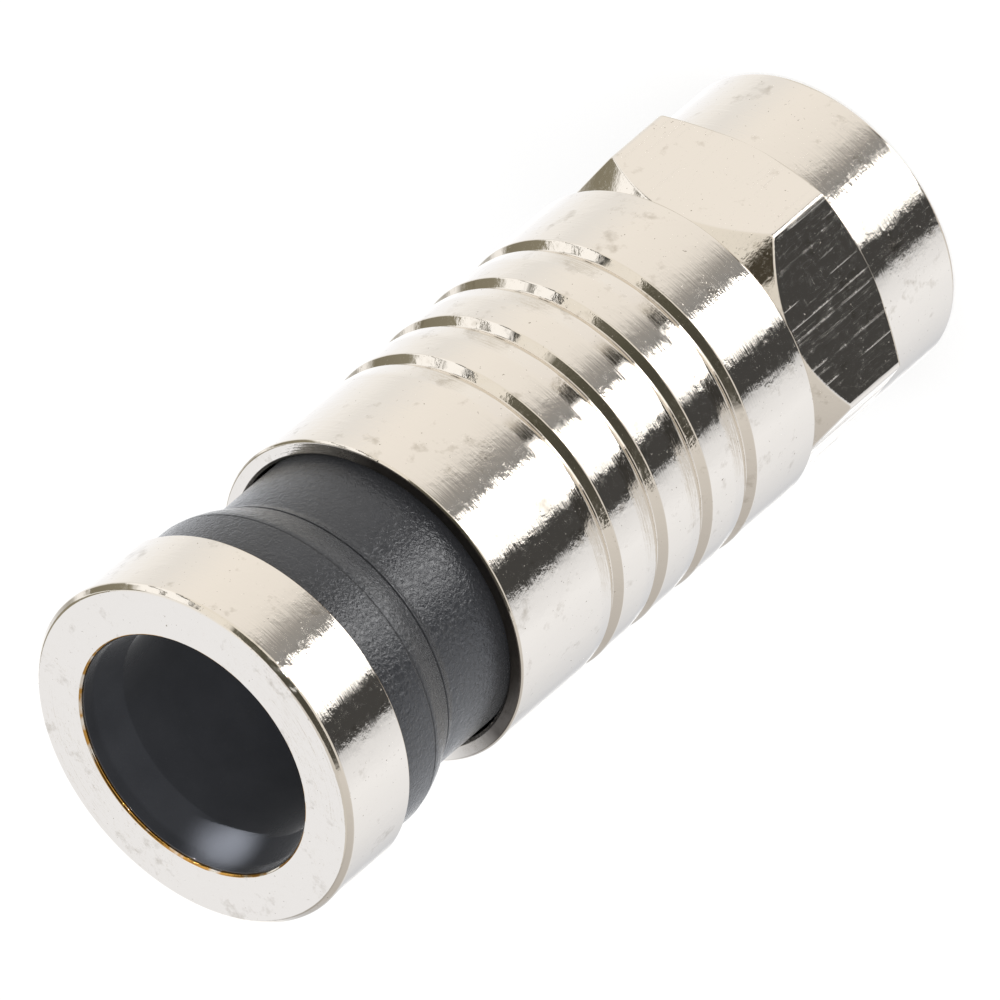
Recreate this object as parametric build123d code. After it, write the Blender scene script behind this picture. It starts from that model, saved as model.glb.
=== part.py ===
from build123d import *
import math
import os

# Compression F connector for a 6.9 to 7.6 mm coaxial cable, in millimetres.
# It stands on the open face of its coupling nut, with the cable entry up.
# The origin is the centre of that face, and +Z runs along the connector to the entry.

# Coupling nut, turned from hexagon bar and tapped for a 3/8-32 port
nut_across_flats = 11.11
nut_length = 7.9
skirt_length = 3.65
skirt_under_flats = 0.03    # by how much its diameter is less than the flats' distance
skirt_edge_chamfer = 0.15
hex_front_angle = 30.0      # of the front bevel, from the face
hex_rear_angle = 38.0       # of the rear taper, from the axis
nut_rear_under_flats = 0.11
thread_major_diameter = 9.525
thread_clearance = 0.02     # of the port's thread crest in the hole
thread_mouth_chamfer = 0.3
thread_end_clearance = 0.25 # from the thread's end to the post's flange
drilled_hole_step = 0.33    # from the thread's root in to the drilled hole behind it
nut_lip_thickness = 0.8
nut_to_body_gap = 0.1

# Body shell, a turned tube with a web at the front and an open mouth at the rear
body_diameter = 11.9
body_length = 15.6
body_wall = 0.58            # beside the sleeve
body_front_chamfer = 0.12
rim_chamfer = 0.08
web_thickness = 2.5
braid_chamber_step = 0.67   # from the sleeve chamber's wall in to the braid chamber's
braid_chamber_length = 5.2
chamber_cone_angle = 30.0   # of the step up to the sleeve chamber, from the axis
mouth_chamfer = 0.1

# Four shallow grip grooves round the body: a long shoulder that falls to a narrow channel
groove_count = 4
groove_pitch = 2.35
first_groove_from_rim = 4.16
groove_shoulder_length = 0.8
groove_shoulder_drop = 0.12
groove_channel_width = 0.4
groove_channel_depth = 0.26
groove_floor_width = 0.04
groove_front_wall = 0.25    # length of the sloped front wall

# Post, a thin tube that goes between the cable's foil and its braid
post_bore_diameter = 4.9
post_wall = 0.4
post_tip_wall = 0.15
post_barb_height = 0.3
post_seat_step = 0.45       # from the shank out to the seat in the body's web
post_shoulder_step = 0.42   # from the seat out to the shoulder that the nut turns on
post_flange_step = 0.56
post_flange_thickness = 0.9
post_flange_chamfer = 0.15
post_tail_length = 8.4      # behind the body's web
post_barb_length = 1.4
post_barb_undercut = 0.35
post_entry_chamfer = 0.1

# Fits of the nut on the post
nut_radial_clearance = 0.06
nut_end_clearance = 0.05

# Seal ring between the nut and the body, cut square
seal_section = 1.0
seal_edge_chamfer = 0.15
seal_end_clearance = 0.1
seal_outer_clearance = 0.28

# Compression sleeve, moulded, pushed into the body when the cable is fitted
sleeve_running_clearance = 0.09
neck_wall = 1.26
neck_exposed_length = 3.15
neck_inside_length = 1.7
neck_lead_chamfer = 0.35
foot_groove_width = 0.12
foot_groove_depth = 0.1
taper_foot_step = 0.16
taper_length = 1.4
collar_under_cap = 0.65     # by how much its diameter is less than the cap's
collar_length = 1.73
entry_cone_step = 0.34      # by how much the cone's mouth is wider all round
entry_cone_length = 1.88
entry_lip_below_face = 0.12 # of the plastic lip that lines the cap's hole
sleeve_tip_bore_chamfer = 0.5

# End cap, a turned cup pressed over the rear of the sleeve
cap_over_body = 0.65        # by how much its diameter is more than the body's
cap_length = 3.12
cap_wall = 0.78
cap_end_thickness = 0.4
cap_face_width = 1.85       # of the flat ring round the cable hole
cap_edge_chamfer = 0.18
cap_front_chamfer = 0.06
cap_bore_chamfer = 0.06

# Radii and heights that follow from the sizes above
nut_apothem = nut_across_flats / 2
skirt_radius = nut_apothem - skirt_under_flats / 2
nut_rear_radius = nut_apothem - nut_rear_under_flats / 2
hex_corner_radius = nut_apothem / math.cos(math.pi / 6)
body_radius = body_diameter / 2
sleeve_chamber_radius = body_radius - body_wall
braid_chamber_radius = sleeve_chamber_radius - braid_chamber_step
neck_radius = sleeve_chamber_radius - sleeve_running_clearance
sleeve_bore_radius = neck_radius - neck_wall
cap_radius = body_radius + cap_over_body / 2
collar_radius = cap_radius - collar_under_cap / 2
spigot_radius = cap_radius - cap_wall
cap_bore_radius = cap_radius - cap_face_width
post_bore_radius = post_bore_diameter / 2
post_shank_radius = post_bore_radius + post_wall
post_seat_radius = post_shank_radius + post_seat_step
post_shoulder_radius = post_seat_radius + post_shoulder_step
post_flange_radius = post_shoulder_radius + post_flange_step
thread_hole_radius = thread_major_diameter / 2 + thread_clearance
drilled_hole_radius = thread_hole_radius - drilled_hole_step
seal_pocket_depth = seal_section + seal_end_clearance - nut_to_body_gap
seal_pocket_radius = post_shoulder_radius + seal_section + seal_outer_clearance
nut_bore_radius = post_shoulder_radius + nut_radial_clearance

body_front = nut_length + nut_to_body_gap
body_rim = body_front + body_length
nut_lip_rear = nut_length - seal_pocket_depth
nut_lip_front = nut_lip_rear - nut_lip_thickness
post_flange_rear = nut_lip_front - nut_end_clearance
post_flange_front = post_flange_rear - post_flange_thickness
thread_end = post_flange_front - thread_end_clearance
post_tail_end = body_front + web_thickness + post_tail_length
sleeve_tip = body_rim - neck_inside_length
taper_foot = body_rim + neck_exposed_length
collar_front = taper_foot + taper_length
cap_front = collar_front + collar_length
cap_rear = cap_front + cap_length
cap_floor = cap_rear - cap_end_thickness
entry_lip_rear = cap_rear - entry_lip_below_face


def turned(*corners):
    """A solid turned about the axis from corners of (radius, height)."""
    outline = make_face(Polyline(*corners, close=True))
    return revolve(Plane.XZ * outline, Axis.Z)


def ring_edge(part, radius, height):
    """The round edge of a turned part at one radius and height."""
    edges = part.edges().filter_by(GeomType.CIRCLE)
    return min(edges, key=lambda e: abs(e.radius - radius) + abs(e.arc_center.Z - height))


def coupling_nut():
    """A hexagon with a round skirt, held on the post by its inner lip."""
    envelope_radius = hex_corner_radius + 1
    front_rise = (envelope_radius - skirt_radius) * math.tan(math.radians(hex_front_angle))
    rear_rise = (envelope_radius - nut_rear_radius) / math.tan(math.radians(hex_rear_angle))
    bevels = turned(
        (0, skirt_length),
        (skirt_radius, skirt_length),
        (envelope_radius, skirt_length + front_rise),
        (envelope_radius, nut_length - rear_rise),
        (nut_rear_radius, nut_length),
        (0, nut_length),
    )
    hexagon = RegularPolygon(nut_apothem, 6, major_radius=False, rotation=30)
    hex_head = extrude(Pos(0, 0, skirt_length) * hexagon, nut_length - skirt_length) & bevels
    skirt = Cylinder(skirt_radius, skirt_length, align=(Align.CENTER, Align.CENTER, Align.MIN))
    skirt = chamfer(ring_edge(skirt, skirt_radius, 0), skirt_edge_chamfer)
    inside = turned(
        (0, -1),
        (thread_hole_radius + thread_mouth_chamfer + 1, -1),
        (thread_hole_radius, thread_mouth_chamfer),
        (thread_hole_radius, thread_end),
        (drilled_hole_radius, thread_end),
        (drilled_hole_radius, nut_lip_front),
        (nut_bore_radius, nut_lip_front),
        (nut_bore_radius, nut_lip_rear),
        (seal_pocket_radius, nut_lip_rear),
        (seal_pocket_radius, nut_length + 1),
        (0, nut_length + 1),
    )
    return hex_head + skirt - inside


def inner_post():
    """The flanged and barbed tube that carries the nut and the body."""
    barb_rear = post_tail_end - post_barb_length
    web_rear = body_front + web_thickness
    post = turned(
        (post_bore_radius, post_flange_front),
        (post_flange_radius, post_flange_front),
        (post_flange_radius, post_flange_rear),
        (post_shoulder_radius, post_flange_rear),
        (post_shoulder_radius, body_front),
        (post_seat_radius, body_front),
        (post_seat_radius, web_rear),
        (post_shank_radius, web_rear),
        (post_shank_radius, barb_rear - post_barb_undercut),
        (post_shank_radius + post_barb_height, barb_rear),
        (post_bore_radius + post_tip_wall, post_tail_end),
        (post_bore_radius, post_tail_end),
    )
    post = chamfer(ring_edge(post, post_flange_radius, post_flange_front), post_flange_chamfer)
    return chamfer(ring_edge(post, post_bore_radius, post_flange_front), post_entry_chamfer)


def nut_seal_ring():
    """The rubber ring on the post's shoulder, between the nut's lip and the body."""
    seal_outer_radius = post_shoulder_radius + seal_section
    seal = turned(
        (post_shoulder_radius, body_front - seal_section),
        (seal_outer_radius, body_front - seal_section),
        (seal_outer_radius, body_front),
        (post_shoulder_radius, body_front),
    )
    seal = chamfer(ring_edge(seal, seal_outer_radius, body_front), seal_edge_chamfer)
    return chamfer(ring_edge(seal, seal_outer_radius, body_front - seal_section), seal_edge_chamfer)


def groove_cutter():
    """One grip groove as a turned cutter, with the groove's rear edge at height zero."""
    shoulder_end = -groove_shoulder_length
    channel_front = shoulder_end - groove_channel_width
    floor_front = channel_front + groove_front_wall
    return turned(
        (body_radius + 1, 0),
        (body_radius, 0),
        (body_radius - groove_shoulder_drop, shoulder_end),
        (body_radius - groove_channel_depth, floor_front + groove_floor_width),
        (body_radius - groove_channel_depth, floor_front),
        (body_radius, channel_front),
        (body_radius + 1, channel_front),
    )


def body_shell():
    """The tube with its web, braid chamber, sleeve chamber and grip grooves."""
    chamber_start = body_front + web_thickness + braid_chamber_length
    cone_rise = (sleeve_chamber_radius - braid_chamber_radius) / math.tan(math.radians(chamber_cone_angle))
    shell = turned(
        (post_seat_radius, body_front),
        (body_radius, body_front),
        (body_radius, body_rim),
        (sleeve_chamber_radius, body_rim),
        (sleeve_chamber_radius, chamber_start + cone_rise),
        (braid_chamber_radius, chamber_start),
        (braid_chamber_radius, body_front + web_thickness),
        (post_seat_radius, body_front + web_thickness),
    )
    shell = chamfer(ring_edge(shell, body_radius, body_front), body_front_chamfer)
    shell = chamfer(ring_edge(shell, body_radius, body_rim), rim_chamfer)
    shell = chamfer(ring_edge(shell, sleeve_chamber_radius, body_rim), mouth_chamfer)
    cutter = groove_cutter()
    for number in range(groove_count):
        rear_edge = body_rim - first_groove_from_rim - number * groove_pitch
        shell -= Pos(0, 0, rear_edge) * cutter
    return shell


def compression_sleeve():
    """The plastic sleeve: a neck in the body, a taper, a collar, and a spigot and lip in the cap."""
    foot_radius = neck_radius - foot_groove_depth
    sleeve = turned(
        (sleeve_bore_radius + sleeve_tip_bore_chamfer, sleeve_tip),
        (neck_radius, sleeve_tip),
        (neck_radius, taper_foot - foot_groove_width),
        (foot_radius, taper_foot - foot_groove_width / 2),
        (neck_radius, taper_foot),
        (neck_radius + taper_foot_step, taper_foot),
        (collar_radius, collar_front),
        (collar_radius, cap_front),
        (spigot_radius, cap_front),
        (spigot_radius, cap_floor),
        (cap_bore_radius, cap_floor),
        (cap_bore_radius, entry_lip_rear),
        (sleeve_bore_radius + entry_cone_step, entry_lip_rear),
        (sleeve_bore_radius, entry_lip_rear - entry_cone_length),
        (sleeve_bore_radius, sleeve_tip + sleeve_tip_bore_chamfer),
    )
    return chamfer(ring_edge(sleeve, neck_radius, sleeve_tip), neck_lead_chamfer)


def end_cap():
    """The plated cup over the sleeve's rear, with the cable hole in its end."""
    cap = turned(
        (spigot_radius, cap_front),
        (cap_radius, cap_front),
        (cap_radius, cap_rear),
        (cap_bore_radius, cap_rear),
        (cap_bore_radius, cap_floor),
        (spigot_radius, cap_floor),
    )
    cap = chamfer(ring_edge(cap, cap_radius, cap_rear), cap_edge_chamfer)
    cap = chamfer(ring_edge(cap, cap_radius, cap_front), cap_front_chamfer)
    return chamfer(ring_edge(cap, cap_bore_radius, cap_rear), cap_bore_chamfer)


os.makedirs("parts", exist_ok=True)
pieces = {
    "coupling_nut": coupling_nut(),
    "inner_post": inner_post(),
    "nut_seal_ring": nut_seal_ring(),
    "body_shell": body_shell(),
    "compression_sleeve": compression_sleeve(),
    "end_cap": end_cap(),
}
for name, piece in pieces.items():
    export_step(piece, f"parts/{name}.step")
    print(name, round(piece.volume, 2), "mm3")
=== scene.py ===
# %% [markdown]
# # A compression F connector
# This lesson dresses a small coaxial plug. The solids come from a drawing made in CAD, and stand on
# the nut's open face with the cable entry up. Here every piece that shows gets a finer surface and a
# finish of its own: nickel plate on turned brass, moulded black acetal, and a rubber seal.

# %% Load the frame
import math

import bpy
import numpy as np
from mathutils import Matrix, Vector


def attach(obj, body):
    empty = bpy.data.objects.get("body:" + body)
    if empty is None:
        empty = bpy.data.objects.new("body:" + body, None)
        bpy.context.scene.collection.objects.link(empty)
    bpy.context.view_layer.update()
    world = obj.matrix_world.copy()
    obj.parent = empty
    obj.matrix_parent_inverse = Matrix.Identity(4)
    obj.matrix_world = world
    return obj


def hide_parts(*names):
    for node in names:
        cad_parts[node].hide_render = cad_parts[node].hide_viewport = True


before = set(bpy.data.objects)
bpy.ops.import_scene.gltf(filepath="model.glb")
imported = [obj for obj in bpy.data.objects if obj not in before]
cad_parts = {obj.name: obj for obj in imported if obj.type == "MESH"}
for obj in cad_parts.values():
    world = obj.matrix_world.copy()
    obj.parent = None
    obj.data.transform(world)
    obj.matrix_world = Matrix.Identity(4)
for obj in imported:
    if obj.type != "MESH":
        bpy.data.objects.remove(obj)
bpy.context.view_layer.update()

# %% [markdown]
# ## Units, colours and nodes
# Sizes are written in millimetres, as on a drawing, and turned to metres in one place. Colours are
# written as hex values, as a paint card gives them, and one function turns them to the linear numbers
# that light is worked out in. One small function adds a shader or geometry node with its settings and
# links, one empties a node tree, and one puts a new object in the scene.

# %% Helpers for sizes, colours and nodes
MM = 0.001


def linear(hex_code):
    """A hex colour as linear red, green, blue and alpha."""
    parts = [int(hex_code[i : i + 2], 16) / 255 for i in (0, 2, 4)]
    return tuple(p / 12.92 if p <= 0.04045 else ((p + 0.055) / 1.055) ** 2.4 for p in parts) + (1.0,)


def add(tree, kind, inputs=None, **settings):
    """Adds a node. Settings are its own choices; inputs are plain values or the sockets that feed it."""
    made = tree.nodes.new(kind)
    for name, value in settings.items():
        setattr(made, name, value)
    for key, value in (inputs or {}).items():
        if isinstance(value, bpy.types.NodeSocket):
            tree.links.new(value, made.inputs[key])
        else:
            made.inputs[key].default_value = value
    return made


def emptied(owner):
    """The node tree of a material or a world, with none of its first nodes left."""
    owner.use_nodes = True
    owner.node_tree.nodes.clear()
    return owner.node_tree


def in_scene(name, data):
    """A new object for a mesh, a lamp or a camera, linked to the scene."""
    made = bpy.data.objects.new(name, data)
    bpy.context.scene.collection.objects.link(made)
    return made


print("nickel in linear light", [round(v, 3) for v in linear("E6DFD5")[:3]])

# %% [markdown]
# ## Turned surfaces
# A lathe makes a shape by moving a tool along an outline while the bar turns. The same idea makes the
# mesh: an outline of radius and height, swept round the axis. Real edges are never perfectly sharp, and
# a thin bright line along each edge is what tells the eye that a piece is metal, so each corner of the
# outline is rounded by a few hundredths of a millimetre. Mirror-like plating also shows every facet, so
# each point is given the true direction of the surface there, and the shading has no steps.

# %% The outline and the sweep
def rounded(corners, rounding, side_kinds):
    """Points of a closed outline with rounded corners. Each has its place, the outward directions of the
    sides before and after it, its share of the second, and the kinds of both sides."""
    points = []
    count = len(corners)
    for i, corner in enumerate(corners):
        here = np.array(corner)
        back, ahead = np.array(corners[i - 1]) - here, np.array(corners[(i + 1) % count]) - here
        back_length, ahead_length = np.linalg.norm(back), np.linalg.norm(ahead)
        cut = min(rounding[i], 0.45 * back_length, 0.45 * ahead_length)
        start, end = here + back / back_length * cut, here + ahead / ahead_length * cut
        normal_in = np.array([-back[1], back[0]]) / back_length
        normal_out = np.array([ahead[1], -ahead[0]]) / ahead_length
        for t in (0, 0.25, 0.5, 0.75, 1):
            place = (1 - t) ** 2 * start + 2 * t * (1 - t) * here + t * t * end
            points.append((place, normal_in, normal_out, t, side_kinds[i - 1], side_kinds[i]))
    return points


def swept(name, outline_at, angles, rounding, side_kinds=None, side_at=None):
    """A closed mesh from an outline at each angle. A side of kind 1 is flat, and side_at gives the way
    it faces."""
    rows, normals = [], []
    for angle in angles:
        round_way = np.array([math.cos(angle), math.sin(angle)])
        flat_way = side_at(angle) if side_at else round_way
        corners = outline_at(angle)
        kinds = side_kinds or [0] * len(corners)
        for place, n_in, n_out, t, kind_in, kind_out in rounded(corners, rounding, kinds):
            way_in = flat_way if kind_in else round_way
            way_out = flat_way if kind_out else round_way
            first = np.append(way_in * n_in[0], n_in[1])
            second = np.append(way_out * n_out[0], n_out[1])
            direction = first * (1 - t) + second * t
            normals.append(direction / np.linalg.norm(direction))
            rows.append((*(place[0] * round_way), place[1]))
    vertices = np.array(rows) * MM
    normals = np.array(normals)
    around, along = len(angles), len(vertices) // len(angles)
    index = np.arange(around * along).reshape(around, along)
    ahead, up = np.roll(index, -1, axis=0), np.roll(index, -1, axis=1)
    faces = np.stack([index, ahead, np.roll(ahead, -1, axis=1), up], axis=-1).reshape(-1, 4)
    a, b, c = vertices[faces[:, 0]], vertices[faces[:, 1]], vertices[faces[:, 2]]
    outward = np.einsum("ij,ij->i", np.cross(b - a, c - a), normals[faces[:, 0]]).sum()
    if outward < 0:
        faces = faces[:, ::-1]
    mesh = bpy.data.meshes.new(name)
    mesh.from_pydata(vertices.tolist(), [], faces.tolist())
    mesh.shade_smooth()
    mesh.normals_split_custom_set_from_vertices(normals.tolist())
    made = in_scene(name, mesh)
    low, high = vertices.min(0) / MM, vertices.max(0) / MM
    print(name, len(faces) * 2, "triangles, heights", round(low[2], 2), "to", round(high[2], 2), "mm")
    return made


def turned(name, corners, steps=224):
    """A turned piece from corners of (radius, height, rounding), all in mm."""
    outline = [(r, z) for r, z, _ in corners]
    area = sum(a[0] * b[1] - b[0] * a[1] for a, b in zip(outline, outline[1:] + outline[:1]))
    if area < 0:
        corners = corners[::-1]
        outline = outline[::-1]
    angles = [2 * math.pi * i / steps for i in range(steps)]
    return swept(name, lambda angle: outline, angles, [c[2] for c in corners])


# %% [markdown]
# ## The coupling nut
# The nut starts as hexagon bar, 7/16 inch across its flats. The lathe turns a round skirt at the front
# and bevels both ends of the hexagon, so each flat ends in a curved edge. A boolean could cut this, but
# here the sweep follows the rule itself: at each angle, the hexagon's radius says where each bevel
# meets the flat. The flats keep the direction of the flat, so they reflect as planes.

# %% Build the nut
FLATS = 11.11
SKIRT_RADIUS, SKIRT_LENGTH = 5.54, 3.65
NUT_REAR_RADIUS, NUT_LENGTH = 5.5, 7.9
HEX_EDGE = 0.2  # the rounding of the six long edges
SEAL_POCKET, LIP_BORE, DRILLED_HOLE, THREAD_ROOT = 5.0, 3.78, 4.4525, 4.7825
SKIRT_CHAMFER, THREAD_CHAMFER = 0.15, 0.3
LIP_REAR, LIP_FRONT, THREAD_END = NUT_LENGTH - 1.0, NUT_LENGTH - 1.8, NUT_LENGTH - 3.0
FRONT_SLOPE, REAR_SLOPE = math.tan(math.radians(30)), math.tan(math.radians(38))


def hexagon(angle):
    """The bar's radius and outward direction at an angle, with softly rounded long edges."""
    apothem = FLATS / 2
    side = round(angle / (math.pi / 3))
    off = angle - side * math.pi / 3
    middle = (apothem - HEX_EDGE) / math.cos(math.pi / 6)
    tangent = math.atan((apothem - HEX_EDGE) * math.tan(math.pi / 6) / apothem)
    if abs(off) <= tangent:
        facing = side * math.pi / 3
        return apothem / math.cos(off), np.array([math.cos(facing), math.sin(facing)])
    corner = (side + math.copysign(0.5, off)) * math.pi / 3
    turn = angle - corner
    reach = middle * math.cos(turn) + math.sqrt(HEX_EDGE**2 - (middle * math.sin(turn)) ** 2)
    out = np.array([math.cos(angle), math.sin(angle)]) * reach
    out -= np.array([math.cos(corner), math.sin(corner)]) * middle
    return reach, out / np.linalg.norm(out)


def nut_outline(angle):
    """The nut's outline at one angle, from the skirt's end round to the thread's mouth."""
    hex_radius, _ = hexagon(angle)
    return [
        (SKIRT_RADIUS - SKIRT_CHAMFER, 0.0),
        (SKIRT_RADIUS, SKIRT_CHAMFER),
        (SKIRT_RADIUS, SKIRT_LENGTH),
        (hex_radius, SKIRT_LENGTH + (hex_radius - SKIRT_RADIUS) * FRONT_SLOPE),
        (hex_radius, NUT_LENGTH - (hex_radius - NUT_REAR_RADIUS) / REAR_SLOPE),
        (NUT_REAR_RADIUS, NUT_LENGTH),
        (SEAL_POCKET, NUT_LENGTH),
        (SEAL_POCKET, LIP_REAR),
        (LIP_BORE, LIP_REAR),
        (LIP_BORE, LIP_FRONT),
        (DRILLED_HOLE, LIP_FRONT),
        (DRILLED_HOLE, THREAD_END),
        (THREAD_ROOT, THREAD_END),
        (THREAD_ROOT, THREAD_CHAMFER),
        (THREAD_ROOT + THREAD_CHAMFER, 0.0),
    ]


# One rounding for each corner of the outline. Only the side from its fourth corner on is a flat.
nut_rounding = [0.08, 0.08, 0.04, 0.09, 0.08, 0.05, 0.04, 0.02, 0.03, 0.03, 0.02, 0.02, 0.02, 0.05, 0.06]
nut_sides = [0, 0, 0, 1] + [0] * 11
# A step of 1.5 degrees is enough for the round parts, and each long edge of the hexagon gets more.
nut_angles = [math.radians(a) for a in np.arange(0, 360, 1.5)]
for corner in range(6):
    for off in (-0.54, -0.36, -0.18, 0.18, 0.36, 0.54):
        nut_angles.append(math.radians(30 + 60 * corner + off))
nut = swept(
    "coupling_nut_plated", nut_outline, sorted(nut_angles), nut_rounding, nut_sides,
    lambda angle: hexagon(angle)[1],
)
print("hexagon over its corners", round(2 * hexagon(math.pi / 6)[0], 3), "mm")

# %% [markdown]
# ## The port thread
# Inside the nut is the thread of an F port, 3/8 inch across with 32 turns to the inch. A thread is one
# ridge that follows a helix, so Geometry Nodes fit it well: a spiral curve, a small trapezoid for the
# ridge's section, and inputs named as the thread's own sizes. The ridge grows from nothing over the
# first part of a turn, as a real thread does where it leaves its chamfer.

# %% Grow the thread with Geometry Nodes
THREAD = {
    "Pitch": 25.4 / 32 * MM,
    "Turns": 5.15,
    "Root radius": 4.80 * MM,
    "Ridge height": 0.42 * MM,
    "Root width": 0.69 * MM,
    "Crest width": 0.2 * MM,
    "Start height": 0.42 * MM,
    "Run out": 0.06,  # the share of its length over which each end grows
}


def thread_tree(sizes):
    """The node tree of a helical ridge, with one named input for each size and one for its finish."""
    tree = bpy.data.node_groups.new("helical_ridge", "GeometryNodeTree")
    tree.interface.new_socket("Geometry", in_out="INPUT", socket_type="NodeSocketGeometry")
    for name, value in sizes.items():
        socket = tree.interface.new_socket(name, in_out="INPUT", socket_type="NodeSocketFloat")
        socket.default_value = value
    tree.interface.new_socket("Finish", in_out="INPUT", socket_type="NodeSocketMaterial")
    tree.interface.new_socket("Geometry", in_out="OUTPUT", socket_type="NodeSocketGeometry")
    given = add(tree, "NodeGroupInput").outputs
    height = add(tree, "ShaderNodeMath", {0: given["Pitch"], 1: given["Turns"]}, operation="MULTIPLY")
    helix = add(
        tree,
        "GeometryNodeCurveSpiral",
        {
            "Resolution": 96,
            "Rotations": given["Turns"],
            "Start Radius": given["Root radius"],
            "End Radius": given["Root radius"],
            "Height": height.outputs[0],
        },
    )
    upright = add(tree, "GeometryNodeSetCurveNormal", {"Curve": helix.outputs[0]}, mode="Z_UP")
    along = add(tree, "GeometryNodeSplineParameter")
    back = add(tree, "ShaderNodeMath", {0: 1.0, 1: along.outputs["Factor"]}, operation="SUBTRACT")
    near = add(
        tree, "ShaderNodeMath", {0: along.outputs["Factor"], 1: back.outputs[0]}, operation="MINIMUM"
    )
    grown = add(
        tree,
        "ShaderNodeMapRange",
        {"Value": near.outputs[0], "From Max": given["Run out"], "To Min": 0.02, "To Max": 1.0},
        interpolation_type="SMOOTHSTEP",
    )
    section = add(
        tree,
        "GeometryNodeCurvePrimitiveQuadrilateral",
        {
            "Bottom Width": given["Root width"],
            "Top Width": given["Crest width"],
            "Height": given["Ridge height"],
            "Offset": 0.0,
        },
        mode="TRAPEZOID",
    )
    half = add(tree, "ShaderNodeMath", {0: given["Ridge height"], 1: 0.5}, operation="MULTIPLY")
    lift = add(tree, "ShaderNodeCombineXYZ", {"Y": half.outputs[0]})
    seated = add(
        tree, "GeometryNodeTransform", {"Geometry": section.outputs[0], "Translation": lift.outputs[0]}
    )
    turn = add(
        tree,
        "GeometryNodeTransform",
        {"Geometry": seated.outputs[0], "Rotation": (0.0, 0.0, -math.pi / 2)},
    )
    ridge = add(
        tree,
        "GeometryNodeCurveToMesh",
        {
            "Curve": upright.outputs[0],
            "Profile Curve": turn.outputs[0],
            "Scale": grown.outputs[0],
            "Fill Caps": True,
        },
    )
    raise_by = add(tree, "ShaderNodeCombineXYZ", {"Z": given["Start height"]})
    placed = add(
        tree, "GeometryNodeTransform", {"Geometry": ridge.outputs[0], "Translation": raise_by.outputs[0]}
    )
    real = add(tree, "GeometryNodeRealizeInstances", {"Geometry": placed.outputs[0]})
    finished = add(
        tree, "GeometryNodeSetMaterial", {"Geometry": real.outputs[0], "Material": given["Finish"]}
    )
    add(tree, "NodeGroupOutput", {"Geometry": finished.outputs[0]})
    return tree


def grown_piece(name, tree, values, finish):
    """A plain mesh object from a geometry tree, with its inputs set by their identifiers."""
    host = in_scene(name + "_host", bpy.data.meshes.new(name + "_host"))
    modifier = host.modifiers.new("grow", "NODES")
    modifier.node_group = tree
    given = values | {"Finish": finish}
    for item in tree.interface.items_tree:
        if item.in_out == "INPUT" and item.name in given:
            modifier[item.identifier] = given[item.name]
    graph = bpy.context.evaluated_depsgraph_get()
    mesh = bpy.data.meshes.new_from_object(host.evaluated_get(graph), depsgraph=graph)
    bpy.data.objects.remove(host)
    mesh.name = name
    return in_scene(name, mesh)


thread_finish = bpy.data.materials.new("nickel_plated_brass_tapped")
thread = grown_piece("port_thread_ridge", thread_tree(THREAD), THREAD, thread_finish)
points = np.array([v.co for v in thread.data.vertices]) / MM
reach = np.hypot(points[:, 0], points[:, 1])
print("thread", len(points), "points, radius", round(reach.min(), 2), "to", round(reach.max(), 2), "mm")
print("thread heights", round(points[:, 2].min(), 2), "to", round(points[:, 2].max(), 2), "mm")

# %% [markdown]
# ## Post and seal
# The post is the thin tube that slides under the cable's braid. Its flange holds the nut, and its barb
# grips. The rubber ring sits on its shoulder, between the nut and the body, and keeps the rain out. Both
# are hidden in the finished part, so plain sweeps are enough.

# %% Build the post and the seal
BODY_RADIUS, BODY_FRONT, BODY_RIM = 5.95, 8.0, 23.6
WEB_REAR, FLANGE = BODY_FRONT + 2.5, BODY_FRONT - 2.85
POST_BORE, SHANK, SEAT, SHOULDER, FLANGE_RADIUS = 2.45, 2.85, 3.3, 3.72, 4.28
BARB, TAIL = WEB_REAR + 7.0, WEB_REAR + 8.4
SEAL_RADIUS, SEAL_FRONT, SEAL_CHAMFER = 4.72, BODY_FRONT - 1.0, 0.15

post = turned(
    "inner_post_plated",
    [
        (POST_BORE + 0.1, FLANGE, 0.03), (FLANGE_RADIUS - 0.15, FLANGE, 0.05),
        (FLANGE_RADIUS, FLANGE + 0.15, 0.05), (FLANGE_RADIUS, FLANGE + 0.9, 0.04),
        (SHOULDER, FLANGE + 0.9, 0.03), (SHOULDER, BODY_FRONT, 0.02),
        (SEAT, BODY_FRONT, 0.02), (SEAT, WEB_REAR, 0.02),
        (SHANK, WEB_REAR, 0.05), (SHANK, BARB - 0.35, 0.05), (SHANK + 0.3, BARB, 0.05),
        (POST_BORE + 0.15, TAIL, 0.05), (POST_BORE, TAIL, 0.05), (POST_BORE, FLANGE + 0.1, 0.04),
    ],
    steps=160,
)
seal = turned(
    "nut_seal_ring_rubber",
    [
        (SHOULDER, SEAL_FRONT, 0.02), (SEAL_RADIUS - SEAL_CHAMFER, SEAL_FRONT, 0.1),
        (SEAL_RADIUS, SEAL_FRONT + SEAL_CHAMFER, 0.15), (SEAL_RADIUS, BODY_FRONT - SEAL_CHAMFER, 0.15),
        (SEAL_RADIUS - SEAL_CHAMFER, BODY_FRONT, 0.1), (SHOULDER, BODY_FRONT, 0.02),
    ],
    steps=120,
)

# %% [markdown]
# ## The body
# The body is the tube that is seen most. Four shallow grip grooves run round it, each a long gentle
# shoulder that falls to a narrow channel. It is turned work too, so it is a sweep of an outline, and the
# grooves come from four points that are repeated at the groove pitch.

# %% Build the body with its grip grooves
GROOVES, GROOVE_PITCH, FIRST_GROOVE = 4, 2.35, 4.16
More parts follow.
